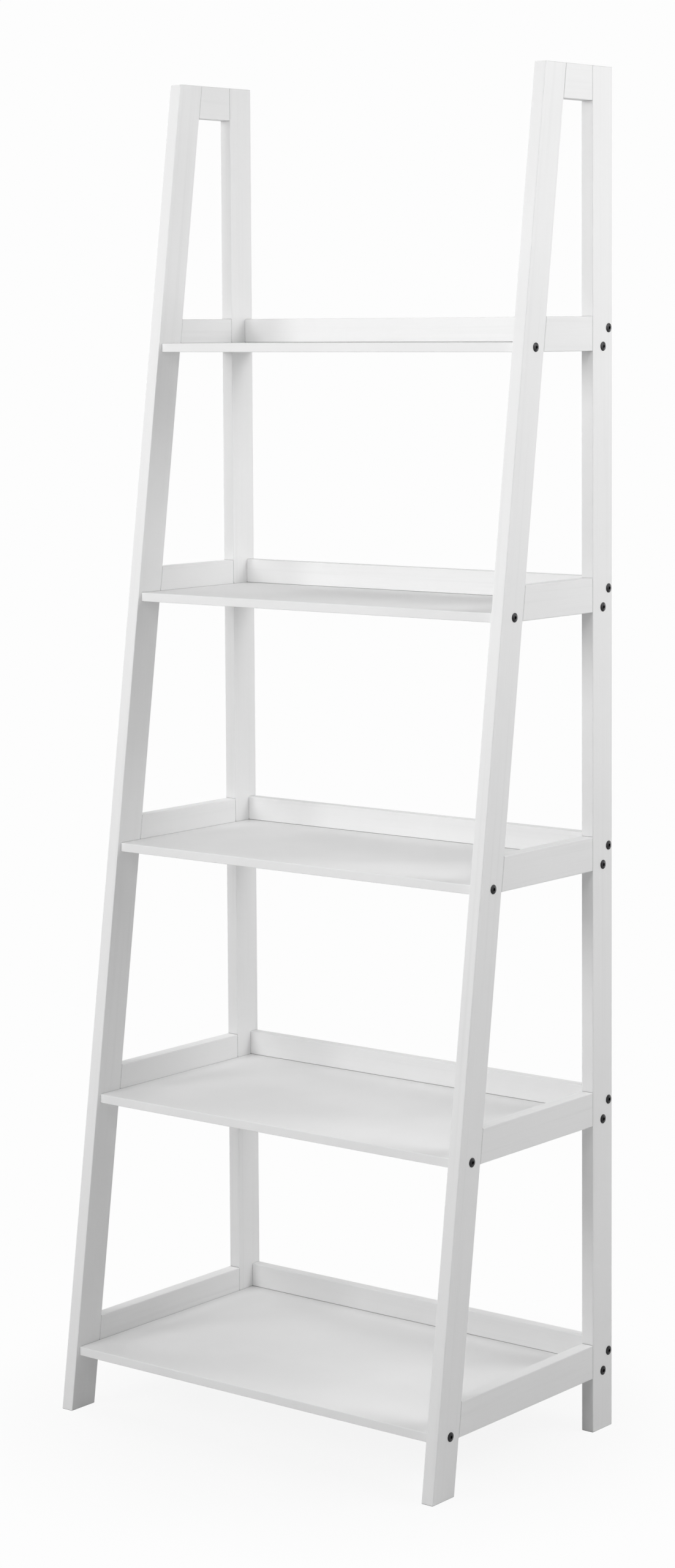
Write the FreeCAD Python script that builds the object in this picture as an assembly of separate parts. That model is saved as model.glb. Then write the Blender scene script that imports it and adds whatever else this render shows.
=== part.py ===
import FreeCAD, Part
import math
import os

from FreeCAD import Vector

# Ladder bookcase: two A-shaped side frames with five shelves screwed between them.
# Millimetres. +X is the object's right seen from the front, +Y the back, +Z up.
# The origin is on the floor, in the middle of the base.

# Overall sizes
overall_height = 1800.0
overall_width = 630.0  # over the outer faces of the side frames
base_depth = 400.0  # over the feet
top_depth = 150.0  # over the tops of the legs

# Side frames
frame_thickness = 18.0
leg_width = 45.0  # across the leg, square to its length
rail_height = 45.0
top_block_height = 45.0
tenon_length = 14.0
tenon_thickness = 8.0
tenon_shoulder = 12.0  # from a rail's top and bottom edges to its tenon
mortise_end_gap = 0.5  # room for glue past the tenon's end

# Shelves and their back rails
shelf_count = 5
lowest_shelf = 73.0  # floor to the underside of the lowest shelf
top_bay = 367.0  # underside of the highest shelf to the tops of the legs
shelf_thickness = 12.0
shelf_setback = 5.5  # behind the front of the leg, at the shelf's top
back_rail_thickness = 15.0
back_inset = 1.0  # shelf and back rail to the backs of the rear legs

# Connecting screws
screw_diameter = 6.0
screw_length = 50.0  # under the head
head_diameter = 12.0
head_height = 1.8
head_chamfer = 1.2
socket_width = 4.0  # across the flats of the hexagon
socket_depth = 2.0
front_screw_inset = 20.5  # behind the shelf's front edge
rear_screw_inset = 21.5  # from the backs of the legs
back_rail_screw_drop = 15.0  # below the back rail's top edge
leg_hole_clearance = 0.2  # round the screw, in the legs
screw_tip_gap = 2.0  # past the screw's end, in shelf and back rail
screw_sides = 12  # flats that stand for round on the many small screws and their holes

# Edges
leg_edge_radius = 1.2
rail_edge_radius = 1.2
shelf_edge_radius = 1.0
end_chamfer = 0.8  # round the ends of legs, rails and blocks, so that each joint shows as a fine groove

across = Vector(1, 0, 0)
along = Vector(0, 1, 0)

# Places that follow from the sizes above
lean = (base_depth - top_depth) / overall_height
leg_run = leg_width / math.cos(math.atan(lean))  # the leaning leg's width, measured level
back_of_legs = base_depth / 2
front_of_rear_leg = back_of_legs - leg_width
back_of_shelf = back_of_legs - back_inset
front_of_back_rail = back_of_shelf - back_rail_thickness
inner_half_width = overall_width / 2 - frame_thickness
frame_middle = overall_width / 2 - frame_thickness / 2
shelf_pitch = (overall_height - top_bay - lowest_shelf) / (shelf_count - 1)
shelf_undersides = [lowest_shelf + i * shelf_pitch for i in range(shelf_count)]
back_rail_height = rail_height - shelf_thickness


def front_of_leg(z):
    return -base_depth / 2 + lean * z


def back_of_front_leg(z):
    return front_of_leg(z) + leg_run


def front_of_shelf(underside):
    return front_of_leg(underside + shelf_thickness) + shelf_setback


# The three screw axes of one side at one shelf, as (y, z)
def front_screw(underside):
    return front_of_shelf(underside) + front_screw_inset, underside + shelf_thickness / 2


def rear_screw(underside):
    return back_of_legs - rear_screw_inset, underside + shelf_thickness / 2


def back_rail_screw(underside):
    return back_of_shelf - back_rail_thickness / 2, underside + rail_height - back_rail_screw_drop


# A flat board in the side frame's plane, from its (y, z) corners, with its middle on x = 0
def frame_board(corners):
    points = [Vector(-frame_thickness / 2, y, z) for y, z in corners]
    face = Part.Face(Part.makePolygon(points + points[:1]))
    return face.extrude(across * frame_thickness)


def edges_along(shape, direction):
    return [edge for edge in shape.Edges if edge.tangentAt(edge.FirstParameter).cross(direction).Length < 1e-6]


# Rounds a frame board's long edges and chamfers the rims of its two ends
def eased(board, direction, radius):
    rounded = board.makeFillet(radius, edges_along(board, direction))
    ends = [face for face in board.Faces if abs(face.normalAt(0, 0).dot(direction)) > 0.5]
    rims = [edge for face in ends for edge in face.Edges]
    return rounded.common(board.makeChamfer(end_chamfer, rims))


# The stub tenons at both ends of a rail or block, as one bar from tip to tip
def tenon_bar(bottom, height, end_gap):
    front_tip = back_of_front_leg(bottom + height / 2) - tenon_length - end_gap
    back_tip = front_of_rear_leg + tenon_length + end_gap
    corner = Vector(-tenon_thickness / 2, front_tip, bottom + tenon_shoulder)
    return Part.makeBox(tenon_thickness, back_tip - front_tip, height - 2 * tenon_shoulder, corner)


# A rail or block between the legs, with its front end cut to the lean of the front leg
def cross_member(bottom, height):
    top = bottom + height
    board = frame_board([
        (back_of_front_leg(bottom), bottom),
        (front_of_rear_leg, bottom),
        (front_of_rear_leg, top),
        (back_of_front_leg(top), top),
    ])
    board = eased(board, along, rail_edge_radius)
    return board.fuse(tenon_bar(bottom, height, 0))


# A bar along +X from the origin, with flats all round
def bar(corner_diameter, length, sides):
    radius = corner_diameter / 2
    angles = [2 * math.pi * i / sides for i in range(sides)]
    rim = [Vector(0, radius * math.cos(a), radius * math.sin(a)) for a in angles]
    return Part.Face(Part.makePolygon(rim + rim[:1])).extrude(across * length)


def leg_hole(y, z):
    hole = bar(screw_diameter + 2 * leg_hole_clearance, frame_thickness, screw_sides)
    return hole.translated(Vector(-frame_thickness / 2, y, z))


# A leg with its long edges eased, its mortises and the holes for its screws
def leg(corners, screw_axes):
    board = frame_board(corners)
    direction = (Vector(0, *corners[-1]) - Vector(0, *corners[0])).normalize()
    board = eased(board, direction, leg_edge_radius)
    mortises = [tenon_bar(bottom, height, mortise_end_gap) for bottom, height in cross_members]
    holes = [leg_hole(y, z) for y, z in screw_axes]
    return board.cut(mortises + holes)


# The screw's hole in both ends of a shelf or back rail
def end_holes(y, z):
    depth = screw_length - frame_thickness + screw_tip_gap
    hole = bar(screw_diameter, depth, screw_sides)
    return [hole.translated(Vector(x, y, z)) for x in (-inner_half_width, inner_half_width - depth)]


# A board that spans the side frames, eased along its length
def span_board(front, back, bottom, height, radius, screw_axes):
    board = Part.makeBox(2 * inner_half_width, back - front, height, Vector(-inner_half_width, front, bottom))
    board = board.makeFillet(radius, edges_along(board, across))
    holes = []
    for y, z in screw_axes:
        holes += end_holes(y, z)
    return board.cut(holes)


def shelf(underside):
    axes = [front_screw(underside), rear_screw(underside)]
    front = front_of_shelf(underside)
    return span_board(front, back_of_shelf, underside, shelf_thickness, shelf_edge_radius, axes)


def back_rail(underside):
    axes = [back_rail_screw(underside)]
    bottom = underside + shelf_thickness
    return span_board(front_of_back_rail, back_of_shelf, bottom, back_rail_height, rail_edge_radius, axes)


# A screw along X: its head seats on x = 0 and its shank reaches inwards
def connecting_screw():
    head = bar(head_diameter, head_height, screw_sides)
    crown = [edge for edge in head.Edges if edge.BoundBox.XMin > head_height / 2]
    head = head.makeChamfer(head_chamfer, crown)
    shank = bar(screw_diameter, screw_length, screw_sides).translated(across * -screw_length)
    socket = bar(socket_width / math.cos(math.pi / 6), socket_depth, 6)
    return head.fuse(shank).cut(socket.translated(across * (head_height - socket_depth)))


# All the screws of one side, with their heads on the side frame's outer face
def side_screws(side):
    screw = connecting_screw()
    if side < 0:
        screw = screw.mirror(Vector(), across)
    placed = []
    for underside in shelf_undersides:
        for axis in (front_screw, rear_screw, back_rail_screw):
            y, z = axis(underside)
            placed.append(screw.translated(Vector(side * overall_width / 2, y, z)))
    return Part.makeCompound(placed)


# Rails and blocks of one side frame, as (bottom, height)
rail_places = [(underside, rail_height) for underside in shelf_undersides]
top_block_place = (overall_height - top_block_height, top_block_height)
cross_members = rail_places + [top_block_place]

front_leg = leg(
    [
        (front_of_leg(0), 0),
        (back_of_front_leg(0), 0),
        (back_of_front_leg(overall_height), overall_height),
        (front_of_leg(overall_height), overall_height),
    ],
    [front_screw(underside) for underside in shelf_undersides],
)
rear_leg = leg(
    [
        (front_of_rear_leg, 0),
        (back_of_legs, 0),
        (back_of_legs, overall_height),
        (front_of_rear_leg, overall_height),
    ],
    [axis(underside) for underside in shelf_undersides for axis in (rear_screw, back_rail_screw)],
)

# One side frame's boards, around x = 0
frame_boards = {"front_leg": front_leg, "rear_leg": rear_leg, "top_block": cross_member(*top_block_place)}
for number, place in enumerate(rail_places, start=1):
    frame_boards[f"side_rail_{number}"] = cross_member(*place)

nodes = {}
for side_name, side in (("left", -1), ("right", 1)):
    for board_name, board in frame_boards.items():
        nodes[f"{side_name}_{board_name}"] = board.translated(across * (side * frame_middle))
    nodes[f"{side_name}_screws"] = side_screws(side)
for number, underside in enumerate(shelf_undersides, start=1):
    nodes[f"shelf_{number}"] = shelf(underside)
    nodes[f"back_rail_{number}"] = back_rail(underside)

os.makedirs("parts", exist_ok=True)
for name, shape in nodes.items():
    shape.exportStep(f"parts/{name}.step")
    print(name, len(shape.Solids), "solids, valid", shape.isValid(), "volume", round(shape.Volume))
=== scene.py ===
import math

import bmesh
import bpy
from mathutils import Matrix, Vector


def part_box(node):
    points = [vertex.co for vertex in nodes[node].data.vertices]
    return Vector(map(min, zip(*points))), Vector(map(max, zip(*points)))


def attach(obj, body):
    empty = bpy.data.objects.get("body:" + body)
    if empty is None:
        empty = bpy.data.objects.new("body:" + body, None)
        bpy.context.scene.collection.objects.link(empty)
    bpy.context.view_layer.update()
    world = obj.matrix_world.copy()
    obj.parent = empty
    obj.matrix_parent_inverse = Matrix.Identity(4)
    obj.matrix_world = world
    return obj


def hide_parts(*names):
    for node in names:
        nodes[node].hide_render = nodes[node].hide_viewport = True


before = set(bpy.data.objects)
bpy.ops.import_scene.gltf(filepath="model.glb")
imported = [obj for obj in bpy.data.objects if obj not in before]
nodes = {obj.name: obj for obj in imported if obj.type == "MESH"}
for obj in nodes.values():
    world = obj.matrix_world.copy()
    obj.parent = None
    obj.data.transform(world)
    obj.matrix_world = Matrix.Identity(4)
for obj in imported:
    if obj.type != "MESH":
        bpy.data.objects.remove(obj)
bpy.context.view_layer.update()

mm = 0.001  # Blender works in metres, small sizes read better in millimetres
quarterTurn = math.pi / 2
scene = bpy.context.scene
print("frame loaded:", len(nodes), "nodes")

mixShare, mixFirst, mixSecond, mixed = 0, 6, 7, 2  # a Mix node's sockets for colours go by number
noiseLow, noiseHigh = 0.3, 0.7  # nearly all of a noise's values lie between these


# sRGB hex to the linear colour that sockets take
def linear(hexColour):
    channels = [int(hexColour[i:i + 2], 16) / 255 for i in (1, 3, 5)]
    return tuple(c / 12.92 if c <= 0.04045 else ((c + 0.055) / 1.055) ** 2.4 for c in channels) + (1.0,)


# Adds a node, sets its properties, sets or links its inputs (a list links several), gives back one output
def addNode(tree, kind, inputs=None, out=0, **settings):
    node = tree.nodes.new(kind)
    for key, value in settings.items():
        setattr(node, key, value)
    for key, value in (inputs or {}).items():
        sources = value if isinstance(value, list) else [value]
        for source in sources:
            if isinstance(source, bpy.types.NodeSocket):
                tree.links.new(source, node.inputs[key])
            else:
                node.inputs[key].default_value = source
    return node.outputs[out] if len(node.outputs) else None


def emptyMaterial(name):
    material = bpy.data.materials.new(name)
    material.use_nodes = True
    material.node_tree.nodes.clear()
    return material, material.node_tree


# Closes a material: gloss that drifts a little with the given noise, then shader and output
def finishSurface(tree, look, drift, shaderInputs):
    roughness = addNode(tree, "ShaderNodeMapRange", {
        "Value": drift, "From Min": noiseLow, "From Max": noiseHigh,
        "To Min": look["roughness"] - look["roughnessDrift"],
        "To Max": look["roughness"] + look["roughnessDrift"],
    })
    surface = addNode(tree, "ShaderNodeBsdfPrincipled", {"Roughness": roughness, **shaderInputs})
    addNode(tree, "ShaderNodeOutputMaterial", {"Surface": surface})


# Painted shade in the joints between boards: the paint is darkened where an occlusion test finds another
# surface within reach. Little light and no spray gets in there, so each joint reads as a fine dark line
jointShade = {
    "reach": 2 * mm,  # from the other board
    "rays": 8,  # sent from each point to feel for it
    "shadeFrom": 0.75,  # open share of the view from a point, where the line starts
    "shadeTo": 0.25,  # and where it is darkest
    # tones of the painted shade: darker in the open grooves, lighter where boards lie flat
    "open": "#6C6C6C",  # between a frame's boards, whose rims are chamfered
    "tight": "#C4C4C4",  # where one board lies flat on another
}


# Mixes the paint's colour towards the tone where a near surface is found: painted shade
def paintJointShade(tree, painted, tone):
    openShare = addNode(tree, "ShaderNodeAmbientOcclusion", {
        "Distance": jointShade["reach"],
    }, out="AO", samples=jointShade["rays"])
    paintedShadeShare = addNode(tree, "ShaderNodeMapRange", {
        "Value": openShare, "From Min": jointShade["shadeFrom"], "From Max": jointShade["shadeTo"],
    }, interpolation_type="SMOOTHSTEP")
    return addNode(tree, "ShaderNodeMix", {
        mixShare: paintedShadeShare, mixFirst: painted, mixSecond: linear(tone),
    }, out=mixed, data_type="RGBA")


# White satin paint, sprayed on planed and sanded softwood: an even soft sheen, faint streaks where
# the grain draws the film in, slow drifts of tone, and the fine ripple that spraying leaves.
paintOnWood = {
    "white": "#EEEEEE",
    "whiteThin": "#E8E8E8",  # where the film is thinner
    "ior": 1.5,
    "roughness": 0.50,
    "roughnessDrift": 0.08,
    "grainWidth": 7 * mm,  # real lines are 2 to 3 mm apart, drawn coarser so that they show
    "grainLength": 420 * mm,
    "grainDetail": 3.0,
    "grainUnevenness": 0.55,
    "grainWander": 0.35,
    "streakFrom": 0.50,  # grain noise where a thin streak starts
    "streakTo": 0.78,  # and where it is full
    "streakShare": 0.6,  # of the way to whiteThin
    "poreWidth": 2.4 * mm,  # real pores are under 0.5 mm, drawn coarser so that they show
    "poreLength": 60 * mm,
    "poreDetail": 1.0,
    "poreFrom": 0.58,  # pore noise at a pore's rim
    "poreTo": 0.72,  # and at its bottom
    "poreDepth": 0.5,  # of the grain's relief
    "driftSize": 260 * mm,
    "driftDetail": 2.0,
    "patchFrom": 0.35,  # drift noise where a thin patch starts
    "patchTo": 0.75,  # and where it is full
    "patchShare": 0.4,  # of the way to whiteThin
    "rippleSize": 5 * mm,  # real ripple is about 1.5 mm, drawn coarser so that it shows
    "rippleDetail": 1.0,
    "grainRelief": 0.08 * mm,
    "rippleRelief": 0.04 * mm,
}


# grainTurn turns the board's own length to the pattern's long direction, X
def paintedWood(name, grainTurn, jointShadeTone):
    look = paintOnWood
    material, tree = emptyMaterial(name)
    place = addNode(tree, "ShaderNodeTexCoord", out="Object")
    turned = addNode(tree, "ShaderNodeMapping", {"Vector": place, "Rotation": grainTurn})

    grainStretch = (1 / look["grainLength"], 1 / look["grainWidth"], 1 / look["grainWidth"])
    grainPlace = addNode(tree, "ShaderNodeMapping", {"Vector": turned, "Scale": grainStretch})
    grain = addNode(tree, "ShaderNodeTexNoise", {
        "Vector": grainPlace, "Scale": 1.0, "Detail": look["grainDetail"],
        "Roughness": look["grainUnevenness"], "Distortion": look["grainWander"],
    })
    poreStretch = (1 / look["poreLength"], 1 / look["poreWidth"], 1 / look["poreWidth"])
    porePlace = addNode(tree, "ShaderNodeMapping", {"Vector": turned, "Scale": poreStretch})
    poreNoise = addNode(tree, "ShaderNodeTexNoise", {
        "Vector": porePlace, "Scale": 1.0, "Detail": look["poreDetail"],
    })
    pores = addNode(tree, "ShaderNodeMapRange", {
        "Value": poreNoise, "From Min": look["poreFrom"], "From Max": look["poreTo"],
    }, interpolation_type="SMOOTHSTEP")
    drift = addNode(tree, "ShaderNodeTexNoise", {
        "Vector": place, "Scale": 1 / look["driftSize"], "Detail": look["driftDetail"],
    })
    ripple = addNode(tree, "ShaderNodeTexNoise", {
        "Vector": place, "Scale": 1 / look["rippleSize"], "Detail": look["rippleDetail"],
    })

    # colour: the film is thinner in streaks along the grain and in wide patches
    streaks = addNode(tree, "ShaderNodeMapRange", {
        "Value": grain, "From Min": look["streakFrom"], "From Max": look["streakTo"],
        "To Max": look["streakShare"],
    }, interpolation_type="SMOOTHSTEP")
    patches = addNode(tree, "ShaderNodeMapRange", {
        "Value": drift, "From Min": look["patchFrom"], "From Max": look["patchTo"],
        "To Max": look["patchShare"],
    })
    thin = addNode(tree, "ShaderNodeMath", {0: streaks, 1: patches}, operation="ADD", use_clamp=True)
    painted = addNode(tree, "ShaderNodeMix", {
        mixShare: thin, mixFirst: linear(look["white"]), mixSecond: linear(look["whiteThin"]),
    }, out=mixed, data_type="RGBA")
    # painted shade in the joints over the paint's colour
    colour = paintJointShade(tree, painted, jointShadeTone)

    # relief: the grain with its pores sunk in, and the ripple over both
    grainHeight = addNode(tree, "ShaderNodeMath", {
        0: pores, 1: -look["poreDepth"], 2: grain,
    }, operation="MULTIPLY_ADD")
    grainBump = addNode(tree, "ShaderNodeBump", {"Height": grainHeight, "Distance": look["grainRelief"]})
    bump = addNode(tree, "ShaderNodeBump", {
        "Height": ripple, "Distance": look["rippleRelief"], "Normal": grainBump,
    })
    finishSurface(tree, look, drift, {"Base Color": colour, "IOR": look["ior"], "Normal": bump})
    return material


# White satin paint, sprayed on sanded fibreboard, which drinks more of it: a little duller than on the
# wood and without grain, only the ripple and slow drifts of tone and gloss.
paintOnBoard = {
    "white": "#EEEEEE",
    "whiteThin": "#EAEAEA",  # where the film is thinner
    "ior": 1.5,
    "roughness": 0.60,
    "roughnessDrift": 0.07,
    "driftSize": 190 * mm,
    "driftDetail": 3.0,
    "patchFrom": 0.35,  # drift noise where a thin patch starts
    "patchTo": 0.70,  # and where it is full
    "rippleSize": 6 * mm,  # real ripple is about 1.5 mm, drawn coarser so that it shows
    "rippleDetail": 1.0,
    "rippleRelief": 0.04 * mm,
}


def paintedBoard(name):
    look = paintOnBoard
    material, tree = emptyMaterial(name)
    place = addNode(tree, "ShaderNodeTexCoord", out="Object")
    drift = addNode(tree, "ShaderNodeTexNoise", {
        "Vector": place, "Scale": 1 / look["driftSize"], "Detail": look["driftDetail"],
    })
    ripple = addNode(tree, "ShaderNodeTexNoise", {
        "Vector": place, "Scale": 1 / look["rippleSize"], "Detail": look["rippleDetail"],
    })
    thin = addNode(tree, "ShaderNodeMapRange", {
        "Value": drift, "From Min": look["patchFrom"], "From Max": look["patchTo"],
    })
    painted = addNode(tree, "ShaderNodeMix", {
        mixShare: thin, mixFirst: linear(look["white"]), mixSecond: linear(look["whiteThin"]),
    }, out=mixed, data_type="RGBA")
    # painted shade in the joints over the paint's colour
    colour = paintJointShade(tree, painted, jointShade["tight"])
    bump = addNode(tree, "ShaderNodeBump", {"Height": ripple, "Distance": look["rippleRelief"]})
    finishSurface(tree, look, drift, {"Base Color": colour, "IOR": look["ior"], "Normal": bump})
    return material


# Black oxide on turned steel: a thin dark skin that keeps the metal's reflections, a little mottled.
blackOxide = {
    "dark": "#202021",
    "worn": "#3A3A3B",
    "roughness": 0.38,
    "roughnessDrift": 0.08,
    "mottleSize": 2.5 * mm,  # real mottling is under 1 mm, drawn coarser so that it shows
    "mottleDetail": 3.0,
}


def oxidisedSteel(name):
    look = blackOxide
    material, tree = emptyMaterial(name)
    place = addNode(tree, "ShaderNodeTexCoord", out="Object")
    mottle = addNode(tree, "ShaderNodeTexNoise", {
        "Vector": place, "Scale": 1 / look["mottleSize"], "Detail": look["mottleDetail"],
    })
    colour = addNode(tree, "ShaderNodeMix", {
        mixShare: mottle, mixFirst: linear(look["dark"]), mixSecond: linear(look["worn"]),
    }, out=mixed, data_type="RGBA")
    finishSurface(tree, look, mottle, {"Base Color": colour, "Metallic": 1.0})
    return material


# How far the front legs lean back, read from the front edges of one leg's two ends
endSlice = 1 * mm
legLow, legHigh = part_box("left_front_leg")
legPoints = [vertex.co for vertex in nodes["left_front_leg"].data.vertices]
topFront = min(point.y for point in legPoints if point.z > legHigh.z - endSlice)
footFront = min(point.y for point in legPoints if point.z < legLow.z + endSlice)
lean = math.atan2(topFront - footFront, legHigh.z - legLow.z)

wood = "white satin paint on softwood, grain "
# each paint gets its painted joint shade: open on the frames' boards, tight on the back rails
woodAcross = paintedWood(wood + "across", (0, 0, 0), jointShade["tight"])
woodFrontToBack = paintedWood(wood + "front to back", (0, 0, -quarterTurn), jointShade["open"])
woodUpright = paintedWood(wood + "upright", (0, quarterTurn, 0), jointShade["open"])
woodLeaning = paintedWood(wood + "leaning", (lean, quarterTurn, 0), jointShade["open"])
smoothBoard = paintedBoard("white satin paint on fibreboard")
blackSteel = oxidisedSteel("black oxide steel")
print("materials made, front legs lean", round(math.degrees(lean), 2), "degrees")

# Every board is the CAD's own solid, dressed in the paint of its grain direction
boardLooks = {
    "front_leg": woodLeaning,
    "rear_leg": woodUpright,
    "side_rail": woodFrontToBack,
    "top_block": woodFrontToBack,
    "back_rail": woodAcross,
    "shelf": smoothBoard,
}
for nodeName, node in nodes.items():
    for boardName, material in boardLooks.items():
        if boardName in nodeName:
            node.data.materials.clear()
            node.data.materials.append(material)
print("boards dressed")

# Connecting screws: a low domed head with a hexagon socket, and a threaded shank in the wood
screws = {
    "sizes": {
        "headDiameter": 12.0 * mm,
        "headHeight": 1.75 * mm,
        "rimHeight": 0.5 * mm,
        "domeCurve": 2.2,  # power of the dome's fall from its middle to its rim
        "socketWidth": 4.0 * mm,  # across the flats
        "socketDepth": 2.0 * mm,
        "shankDiameter": 5.4 * mm,
        "shankLength": 49.0 * mm,
        "threadPitch": 1.6 * mm,
        "threadLength": 30.0 * mm,
        "threadDepth": 0.3 * mm,
    },
    "counts": {
        "headSides": 48,
        "headRings": 6,  # from the rim to the middle
        "shankSides": 24,
        "threadSteps": 12,  # in one turn
        "ridgeSides": 4,
    },
    "sharpAngle": 35,  # degrees, an edge that turns more is shaded sharp
    "mergeGap": 0.01 * mm,  # corners of the CAD's loose triangles that are nearer are one point
}


# The tree stands a screw on each seat and turns it. A screw is made upright: its head sits on z = 0
# and its shank reaches down.
def screwTree():
    tree = bpy.data.node_groups.new("connecting screws", "GeometryNodeTree")
    inputKinds = {"seats": "NodeSocketGeometry"}
    inputKinds.update(dict.fromkeys(screws["sizes"], "NodeSocketFloat"))
    inputKinds.update(dict.fromkeys(screws["counts"], "NodeSocketInt"))
    inputKinds.update({"turn": "NodeSocketVector", "finish": "NodeSocketMaterial"})
    for name, kind in inputKinds.items():
        tree.interface.new_socket(name, in_out="INPUT", socket_type=kind)
    tree.interface.new_socket("screws", in_out="OUTPUT", socket_type="NodeSocketGeometry")
    given = tree.nodes.new("NodeGroupInput").outputs
    half = {}
    for name in ("headDiameter", "rimHeight", "shankDiameter"):
        half[name] = addNode(tree, "ShaderNodeMath", {0: given[name], 1: 0.5}, operation="MULTIPLY")

    # head: a drum whose lower end comes to the seat, and whose upper end is lifted to a dome
    drum = addNode(tree, "GeometryNodeMeshCylinder", {
        "Vertices": given["headSides"], "Fill Segments": given["headRings"],
        "Radius": half["headDiameter"], "Depth": given["rimHeight"],
    }, out="Mesh", fill_type="TRIANGLE_FAN")
    place = addNode(tree, "GeometryNodeInputPosition")
    level = addNode(tree, "ShaderNodeVectorMath", {0: place, 1: (1, 1, 0)}, operation="MULTIPLY")
    outward = addNode(tree, "ShaderNodeVectorMath", {0: level}, out="Value", operation="LENGTH")
    share = addNode(tree, "ShaderNodeMath", {0: outward, 1: half["headDiameter"]}, operation="DIVIDE")
    fall = addNode(tree, "ShaderNodeMath", {0: share, 1: given["domeCurve"]}, operation="POWER")
    rise = addNode(tree, "ShaderNodeMapRange", {
        "Value": fall, "From Min": 1.0, "From Max": 0.0,
        "To Min": given["rimHeight"], "To Max": given["headHeight"],
    })
    above = addNode(tree, "ShaderNodeSeparateXYZ", {0: place}, out="Z")
    onTop = addNode(tree, "FunctionNodeCompare", {0: above, 1: 0.0}, operation="GREATER_THAN")
    height = addNode(tree, "GeometryNodeSwitch", {
        "Switch": onTop, "False": 0.0, "True": rise,
    }, input_type="FLOAT")
    lifted = addNode(tree, "ShaderNodeCombineXYZ", {"Z": height})
    domed = addNode(tree, "ShaderNodeVectorMath", {0: level, 1: lifted}, operation="ADD")
    head = addNode(tree, "GeometryNodeSetPosition", {"Geometry": drum, "Position": domed})

    # shank: down from the seat, with its upper end sunk in the head
    rodLength = addNode(tree, "ShaderNodeMath", {
        0: given["shankLength"], 1: half["rimHeight"],
    }, operation="ADD")
    rod = addNode(tree, "GeometryNodeMeshCylinder", {
        "Vertices": given["shankSides"], "Radius": half["shankDiameter"], "Depth": rodLength,
    }, out="Mesh")
    middle = addNode(tree, "ShaderNodeMath", {
        0: rodLength, 1: -0.5, 2: half["rimHeight"],
    }, operation="MULTIPLY_ADD")
    shankPlace = addNode(tree, "ShaderNodeCombineXYZ", {"Z": middle})
    shank = addNode(tree, "GeometryNodeTransform", {"Geometry": rod, "Translation": shankPlace})
    blank = addNode(tree, "GeometryNodeMeshBoolean", {
        "Mesh 2": [head, shank],
    }, operation="UNION", solver="EXACT")

    # socket: a hexagon sunk from the top, whose corners lie its width / root 3 from its middle
    corner = addNode(tree, "ShaderNodeMath", {
        0: given["socketWidth"], 1: math.sqrt(3),
    }, operation="DIVIDE")
    twice = addNode(tree, "ShaderNodeMath", {0: given["socketDepth"], 1: 2.0}, operation="MULTIPLY")
    hexagon = addNode(tree, "GeometryNodeMeshCylinder", {
        "Vertices": 6, "Radius": corner, "Depth": twice,
    }, out="Mesh")
    crown = addNode(tree, "ShaderNodeCombineXYZ", {"Z": given["headHeight"]})
    punch = addNode(tree, "GeometryNodeTransform", {"Geometry": hexagon, "Translation": crown})
    sunk = addNode(tree, "GeometryNodeMeshBoolean", {
        "Mesh 1": blank, "Mesh 2": punch,
    }, operation="DIFFERENCE", solver="EXACT")

    # thread: a ridge wound round the shank, up from its tip
    turns = addNode(tree, "ShaderNodeMath", {
        0: given["threadLength"], 1: given["threadPitch"],
    }, operation="DIVIDE")
    spiral = addNode(tree, "GeometryNodeCurveSpiral", {
        "Resolution": given["threadSteps"], "Rotations": turns, "Height": given["threadLength"],
        "Start Radius": half["shankDiameter"], "End Radius": half["shankDiameter"],
    })
    ridge = addNode(tree, "GeometryNodeCurvePrimitiveCircle", {
        "Resolution": given["ridgeSides"], "Radius": given["threadDepth"],
    })
    coil = addNode(tree, "GeometryNodeCurveToMesh", {
        "Curve": spiral, "Profile Curve": ridge, "Fill Caps": True,
    })
    tip = addNode(tree, "ShaderNodeMath", {
        0: given["threadDepth"], 1: given["shankLength"],
    }, operation="SUBTRACT")
    threadPlace = addNode(tree, "ShaderNodeCombineXYZ", {"Z": tip})
    thread = addNode(tree, "GeometryNodeTransform", {"Geometry": coil, "Translation": threadPlace})
    screw = addNode(tree, "GeometryNodeMeshBoolean", {
        "Mesh 2": [sunk, thread],
    }, operation="UNION", solver="EXACT")

    turn = addNode(tree, "FunctionNodeEulerToRotation", {0: given["turn"]})
    stood = addNode(tree, "GeometryNodeInstanceOnPoints", {
        "Points": given["seats"], "Instance": screw, "Rotation": turn,
    })
    real = addNode(tree, "GeometryNodeRealizeInstances", {"Geometry": stood})
    dressed = addNode(tree, "GeometryNodeSetMaterial", {"Geometry": real, "Material": given["finish"]})
    addNode(tree, "NodeGroupOutput", {0: dressed})
    return tree


# Where the CAD's screws sit: the middle of each one, seen along its axis, on the side frame's face
def screwSeats(node, faceX):
    cad = bmesh.new()
    cad.from_mesh(node.data)
    bmesh.ops.remove_doubles(cad, verts=cad.verts, dist=screws["mergeGap"])
    cad.verts.index_update()
    seats = []
    seen = set()
    for first in cad.verts:
        if first.index in seen:
            continue
        seen.add(first.index)
        screw = [first]
        for vert in screw:  # grows while it is walked, until it holds one whole screw
            for edge in vert.link_edges:
                other = edge.other_vert(vert)
                if other.index not in seen:
                    seen.add(other.index)
                    screw.append(other)
        middle = [(min(v.co[i] for v in screw) + max(v.co[i] for v in screw)) / 2 for i in (1, 2)]
        seats.append((faceX, *middle))
    cad.free()
    return seats


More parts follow.
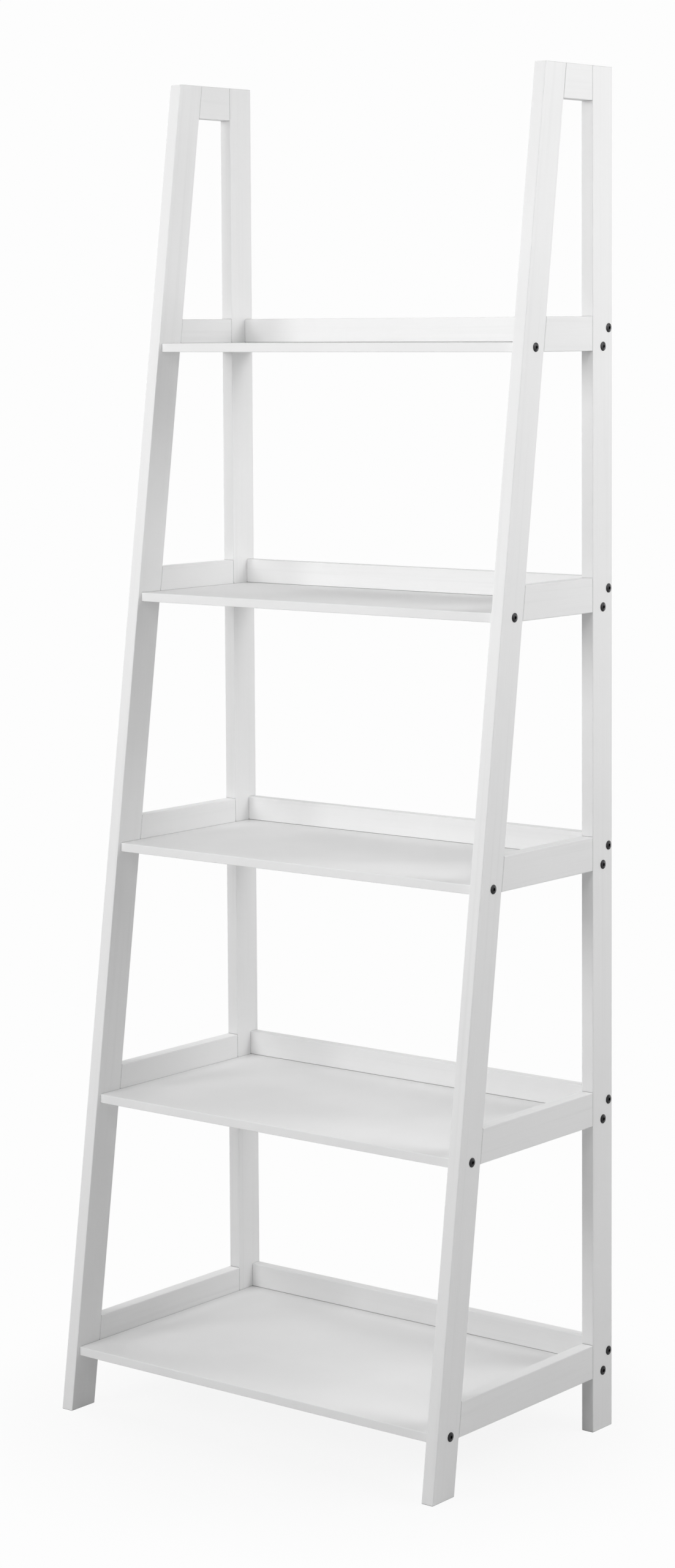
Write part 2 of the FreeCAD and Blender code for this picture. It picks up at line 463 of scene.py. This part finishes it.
# Runs the tree on one side's seats and gives back its screws as one plain mesh
def screwMesh(tree, side, seats, turn):
    points = bpy.data.meshes.new(f"{side} screw seats")
    points.from_pydata(seats, [], [])
    maker = bpy.data.objects.new(f"{side} screw maker", points)
    scene.collection.objects.link(maker)
    modifier = maker.modifiers.new("screws", "NODES")
    modifier.node_group = tree
    sockets = {item.name: item.identifier for item in tree.interface.items_tree if item.in_out == "INPUT"}
    given = {**screws["sizes"], **screws["counts"], "turn": turn, "finish": blackSteel}
    for name, value in given.items():
        modifier[sockets[name]] = value
    bpy.context.view_layer.update()
    evaluated = maker.evaluated_get(bpy.context.evaluated_depsgraph_get())
    mesh = bpy.data.meshes.new_from_object(evaluated)
    maker.modifiers.remove(modifier)
    bpy.data.objects.remove(maker)
    mesh.name = f"{side}_connecting_screws"
    mesh.shade_smooth()
    mesh.set_sharp_from_angle(angle=math.radians(screws["sharpAngle"]))
    return mesh


screwNodes = screwTree()
for side, outward in (("left", -1), ("right", 1)):
    rearLow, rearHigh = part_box(f"{side}_rear_leg")
    outerFace = rearLow.x if outward < 0 else rearHigh.x
    seats = screwSeats(nodes[f"{side}_screws"], outerFace)
    mesh = screwMesh(screwNodes, side, seats, (0.0, outward * quarterTurn, 0.0))
    piece = bpy.data.objects.new(mesh.name, mesh)
    scene.collection.objects.link(piece)
    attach(piece, "root")
    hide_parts(f"{side}_screws")
    print(side, "screws:", len(seats), "with", len(mesh.polygons), "faces")


# True where a surface is looked at, straight or in a reflection, and not where it lights something
def lookedAt(tree):
    path = tree.nodes.new("ShaderNodeLightPath").outputs
    direct = addNode(tree, "ShaderNodeMath", {
        0: path["Is Camera Ray"], 1: path["Is Glossy Ray"],
    }, operation="MAXIMUM")
    return addNode(tree, "ShaderNodeMath", {0: direct, 1: path["Is Transmission Ray"]}, operation="MAXIMUM")


# Background: plain white where it is looked at, on the floor and above it
background = {"seen": "#FDFDFD", "strength": 1.0}

# Floor: matt white, plain to the camera, with the object's soft shadow kept round its feet
floorLook = {
    "size": 60.0,
    "white": "#DADADA",  # what it sends back to the object
    "shadowShare": 0.10,  # how much of the lit floor shows near the object
    "shadowFrom": 0.20,  # metres from the middle where that share starts to fade
    "shadowTo": 0.60,
}


def floorPaint(name):
    material, tree = emptyMaterial(name)
    place = addNode(tree, "ShaderNodeTexCoord", out="Object")
    fromMiddle = addNode(tree, "ShaderNodeVectorMath", {0: place}, out="Value", operation="LENGTH")
    share = addNode(tree, "ShaderNodeMapRange", {
        "Value": fromMiddle, "From Min": floorLook["shadowFrom"], "From Max": floorLook["shadowTo"],
        "To Min": floorLook["shadowShare"], "To Max": 0.0,
    }, interpolation_type="SMOOTHSTEP")
    lit = addNode(tree, "ShaderNodeBsdfDiffuse", {"Color": linear(floorLook["white"])})
    plain = addNode(tree, "ShaderNodeEmission", {
        "Color": linear(background["seen"]), "Strength": background["strength"],
    })
    seen = addNode(tree, "ShaderNodeMixShader", {0: share, 1: plain, 2: lit})
    surface = addNode(tree, "ShaderNodeMixShader", {0: lookedAt(tree), 1: lit, 2: seen})
    addNode(tree, "ShaderNodeOutputMaterial", {"Surface": surface})
    return material


half = floorLook["size"] / 2
corners = [(-half, -half, 0), (half, -half, 0), (half, half, 0), (-half, half, 0)]
floorMesh = bpy.data.meshes.new("floor")
floorMesh.from_pydata(corners, [], [(0, 1, 2, 3)])
floorMesh.materials.append(floorPaint("matt white studio floor"))
floor = bpy.data.objects.new("floor", floorMesh)
scene.collection.objects.link(floor)

# World: a dim even fill where it lights
worldLook = {"fill": 0.03}
world = bpy.data.worlds.new("white studio")
scene.world = world
world.use_nodes = True
worldTree = world.node_tree
worldTree.nodes.clear()
strength = addNode(worldTree, "ShaderNodeMapRange", {
    "Value": lookedAt(worldTree), "To Min": worldLook["fill"], "To Max": background["strength"],
})
sky = addNode(worldTree, "ShaderNodeBackground", {
    "Color": linear(background["seen"]), "Strength": strength,
})
addNode(worldTree, "ShaderNodeOutputWorld", {"Surface": sky})

# Soft boxes: where each stands, the height on the object's axis that it faces, its side and its power
softBoxes = {
    "front box": {"place": (0.2, -2.4, 1.5), "aim": 1.1, "size": 1.2, "watts": 14.8},
    "front left box": {"place": (-0.9, -2.3, 1.9), "aim": 1.1, "size": 1.2, "watts": 28.0},
    "front right box": {"place": (0.9, -1.3, 2.2), "aim": 1.3, "size": 0.8, "watts": 6.5},
    "overhead box": {"place": (-0.9, 0.0, 3.3), "aim": 1.2, "size": 1.2, "watts": 14.0},
    "left box": {"place": (-3.0, 0.2, 1.6), "aim": 1.0, "size": 1.8, "watts": 30.0},
    "right box": {"place": (2.4, 0.4, 1.7), "aim": 1.1, "size": 1.2, "watts": 8.4},
    "high right box": {"place": (2.2, 1.0, 2.5), "aim": 1.1, "size": 1.4, "watts": 28.2},
    "back right box": {"place": (2.4, 2.0, 1.8), "aim": 1.0, "size": 1.8, "watts": 12.0},
    "back box": {"place": (0.6, 3.0, 0.9), "aim": 1.0, "size": 1.6, "watts": 15.0},
}
for name, box in softBoxes.items():
    lamp = bpy.data.lights.new(name, "AREA")
    lamp.shape = "SQUARE"
    lamp.size = box["size"]
    lamp.energy = box["watts"]
    holder = bpy.data.objects.new(name, lamp)
    scene.collection.objects.link(holder)
    towards = Vector((0, 0, box["aim"])) - Vector(box["place"])
    holder.location = box["place"]
    holder.rotation_euler = towards.to_track_quat("-Z", "Y").to_euler()
print("floor, world and", len(softBoxes), "soft boxes set")

# Camera at the photograph's view: turned to the object's right, a little above its middle
cameraView = {
    "place": (2.7702, -3.4677, 1.4655),
    "turn": math.radians(38.484),
    "tiltDown": math.radians(4.4371),
    "roll": math.radians(-0.346),
    "lens": 77.18,  # millimetres
    "sensor": 36.0,  # millimetres, along the frame's long side
    "shiftY": -0.12483,  # the object stands low in the frame
    "farEnd": 200.0,
}
camera = bpy.data.cameras.new("camera")
camera.sensor_fit = "AUTO"
camera.sensor_width = cameraView["sensor"]
camera.lens = cameraView["lens"]
camera.shift_y = cameraView["shiftY"]
camera.clip_end = cameraView["farEnd"]
cameraObject = bpy.data.objects.new("camera", camera)
scene.collection.objects.link(cameraObject)
turned = Matrix.Rotation(cameraView["turn"], 4, "Z")
tilted = Matrix.Rotation(quarterTurn - cameraView["tiltDown"], 4, "X")
rolled = Matrix.Rotation(cameraView["roll"], 4, "Z")
cameraObject.matrix_world = Matrix.Translation(cameraView["place"]) @ turned @ tilted @ rolled
scene.camera = cameraObject
scene.view_settings.view_transform = "Standard"
print("camera set")
